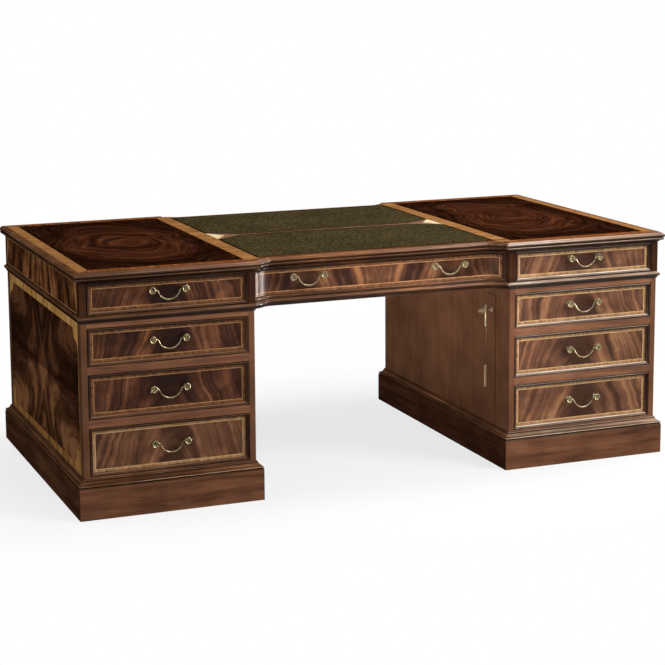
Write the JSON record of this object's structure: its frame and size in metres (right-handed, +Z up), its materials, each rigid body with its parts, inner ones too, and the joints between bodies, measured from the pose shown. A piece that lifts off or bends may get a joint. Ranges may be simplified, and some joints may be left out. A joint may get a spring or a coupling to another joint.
{
  "type": "pedestal desk",
  "caption": "Pedestal desk with a leather-lined top, set-back centre drawer, banks of drawers with swinging bail handles, moulded plinths and a locking flap beside the kneehole.",
  "frame": {"origin": "on the floor under the middle of the desk", "axes": "+X along the desk to the sitter's right, seen from the drawer side; -Y is the drawer side; +Z up"},
  "size_m": [2.1, 1.106, 0.787],
  "materials": {
    "mahogany": "satin lacquer",
    "figured_veneer": "polished crotch mahogany veneer",
    "drawer_lining": "waxed",
    "pale_inlay": "satin lacquer",
    "green_leather": "grained",
    "brass": "antiqued"
  },
  "bodies": {
    "desk": {"top_board": "mahogany", "top_edge_moulding": "mahogany", "left_top_veneer": "figured_veneer", "right_top_veneer": "figured_veneer", "front_leather": "green_leather", "rear_leather": "green_leather", "leather_divider": "figured_veneer", "divider_inlays": "pale_inlay", "frieze_frame": "mahogany", "waist_moulding": "mahogany", "left_pedestal": "mahogany", "left_end_panel": "figured_veneer", "left_plinth": "mahogany", "left_plinth_moulding": "mahogany", "right_pedestal": "mahogany", "right_end_panel": "figured_veneer", "right_plinth": "mahogany", "right_plinth_moulding": "mahogany", "flap_hinge_frame_leaves": "brass"},
    "left_frieze_drawer": {"left_frieze_drawer_front": "figured_veneer", "left_frieze_drawer_box": "drawer_lining", "left_frieze_drawer_posts": "brass"},
    "left_frieze_drawer_bail": {"left_frieze_drawer_bail": "brass"},
    "left_upper_drawer": {"left_upper_drawer_front": "figured_veneer", "left_upper_drawer_box": "drawer_lining", "left_upper_drawer_posts": "brass"},
    "left_upper_drawer_bail": {"left_upper_drawer_bail": "brass"},
    "left_middle_drawer": {"left_middle_drawer_front": "figured_veneer", "left_middle_drawer_box": "drawer_lining", "left_middle_drawer_posts": "brass"},
    "left_middle_drawer_bail": {"left_middle_drawer_bail": "brass"},
    "left_lower_drawer": {"left_lower_drawer_front": "figured_veneer", "left_lower_drawer_box": "drawer_lining", "left_lower_drawer_posts": "brass"},
    "left_lower_drawer_bail": {"left_lower_drawer_bail": "brass"},
    "right_frieze_drawer": {"right_frieze_drawer_front": "figured_veneer", "right_frieze_drawer_box": "drawer_lining", "right_frieze_drawer_posts": "brass"},
    "right_frieze_drawer_bail": {"right_frieze_drawer_bail": "brass"},
    "right_upper_drawer": {"right_upper_drawer_front": "figured_veneer", "right_upper_drawer_box": "drawer_lining", "right_upper_drawer_posts": "brass"},
    "right_upper_drawer_bail": {"right_upper_drawer_bail": "brass"},
    "right_middle_drawer": {"right_middle_drawer_front": "figured_veneer", "right_middle_drawer_box": "drawer_lining", "right_middle_drawer_posts": "brass"},
    "right_middle_drawer_bail": {"right_middle_drawer_bail": "brass"},
    "right_lower_drawer": {"right_lower_drawer_front": "figured_veneer", "right_lower_drawer_box": "drawer_lining", "right_lower_drawer_posts": "brass"},
    "right_lower_drawer_bail": {"right_lower_drawer_bail": "brass"},
    "centre_drawer": {"centre_drawer_front": "figured_veneer", "centre_drawer_box": "drawer_lining", "centre_drawer_posts": "brass"},
    "centre_drawer_left_bail": {"centre_drawer_left_bail": "brass"},
    "centre_drawer_right_bail": {"centre_drawer_right_bail": "brass"},
    "flap": {"locking_flap": "mahogany", "flap_hinge_flap_leaves": "brass", "flap_lock": "brass"},
    "key": {"flap_key": "brass"}
  },
  "joints": [
    {"name": "left_frieze_drawer_slide", "type": "slide", "parent": "desk", "child": "left_frieze_drawer", "axis": [0, -1, 0], "range_m": [0, 0.4]},
    {"name": "left_frieze_drawer_bail_swing", "type": "hinge", "parent": "left_frieze_drawer", "child": "left_frieze_drawer_bail", "pos_m": [-0.7435, -0.541, 0.716], "axis": [-1, 0, 0], "range_deg": [-25, 100]},
    {"name": "left_upper_drawer_slide", "type": "slide", "parent": "desk", "child": "left_upper_drawer", "axis": [0, -1, 0], "range_m": [0, 0.4]},
    {"name": "left_upper_drawer_bail_swing", "type": "hinge", "parent": "left_upper_drawer", "child": "left_upper_drawer_bail", "pos_m": [-0.7435, -0.538, 0.5575], "axis": [-1, 0, 0], "range_deg": [-25, 100]},
    {"name": "left_middle_drawer_slide", "type": "slide", "parent": "desk", "child": "left_middle_drawer", "axis": [0, -1, 0], "range_m": [0, 0.4]},
    {"name": "left_middle_drawer_bail_swing", "type": "hinge", "parent": "left_middle_drawer", "child": "left_middle_drawer_bail", "pos_m": [-0.7435, -0.538, 0.398], "axis": [-1, 0, 0], "range_deg": [-25, 100]},
    {"name": "left_lower_drawer_slide", "type": "slide", "parent": "desk", "child": "left_lower_drawer", "axis": [0, -1, 0], "range_m": [0, 0.4]},
    {"name": "left_lower_drawer_bail_swing", "type": "hinge", "parent": "left_lower_drawer", "child": "left_lower_drawer_bail", "pos_m": [-0.7435, -0.538, 0.221], "axis": [-1, 0, 0], "range_deg": [-25, 100]},
    {"name": "right_frieze_drawer_slide", "type": "slide", "parent": "desk", "child": "right_frieze_drawer", "axis": [0, -1, 0], "range_m": [0, 0.4]},
    {"name": "right_frieze_drawer_bail_swing", "type": "hinge", "parent": "right_frieze_drawer", "child": "right_frieze_drawer_bail", "pos_m": [0.7435, -0.541, 0.716], "axis": [-1, 0, 0], "range_deg": [-25, 100]},
    {"name": "right_upper_drawer_slide", "type": "slide", "parent": "desk", "child": "right_upper_drawer", "axis": [0, -1, 0], "range_m": [0, 0.4]},
    {"name": "right_upper_drawer_bail_swing", "type": "hinge", "parent": "right_upper_drawer", "child": "right_upper_drawer_bail", "pos_m": [0.7435, -0.538, 0.5575], "axis": [-1, 0, 0], "range_deg": [-25, 100]},
    {"name": "right_middle_drawer_slide", "type": "slide", "parent": "desk", "child": "right_middle_drawer", "axis": [0, -1, 0], "range_m": [0, 0.4]},
    {"name": "right_middle_drawer_bail_swing", "type": "hinge", "parent": "right_middle_drawer", "child": "right_middle_drawer_bail", "pos_m": [0.7435, -0.538, 0.398], "axis": [-1, 0, 0], "range_deg": [-25, 100]},
    {"name": "right_lower_drawer_slide", "type": "slide", "parent": "desk", "child": "right_lower_drawer", "axis": [0, -1, 0], "range_m": [0, 0.4]},
    {"name": "right_lower_drawer_bail_swing", "type": "hinge", "parent": "right_lower_drawer", "child": "right_lower_drawer_bail", "pos_m": [0.7435, -0.538, 0.221], "axis": [-1, 0, 0], "range_deg": [-25, 100]},
    {"name": "centre_drawer_slide", "type": "slide", "parent": "desk", "child": "centre_drawer", "axis": [0, -1, 0], "range_m": [0, 0.35]},
    {"name": "centre_drawer_left_bail_swing", "type": "hinge", "parent": "centre_drawer", "child": "centre_drawer_left_bail", "pos_m": [-0.254, -0.493, 0.716], "axis": [-1, 0, 0], "range_deg": [-25, 100]},
    {"name": "centre_drawer_right_bail_swing", "type": "hinge", "parent": "centre_drawer", "child": "centre_drawer_right_bail", "pos_m": [0.254, -0.493, 0.716], "axis": [-1, 0, 0], "range_deg": [-25, 100]},
    {"name": "flap_hinge", "type": "hinge", "parent": "desk", "child": "flap", "pos_m": [0.4548, -0.3554, 0.3955], "axis": [0, 0, -1], "range_deg": [0, 95]},
    {"name": "key_turn", "type": "hinge", "parent": "flap", "child": "key", "pos_m": [0.458, -0.397, 0.531], "axis": [-1, 0, 0], "range_deg": [0, 90]}
  ]
}
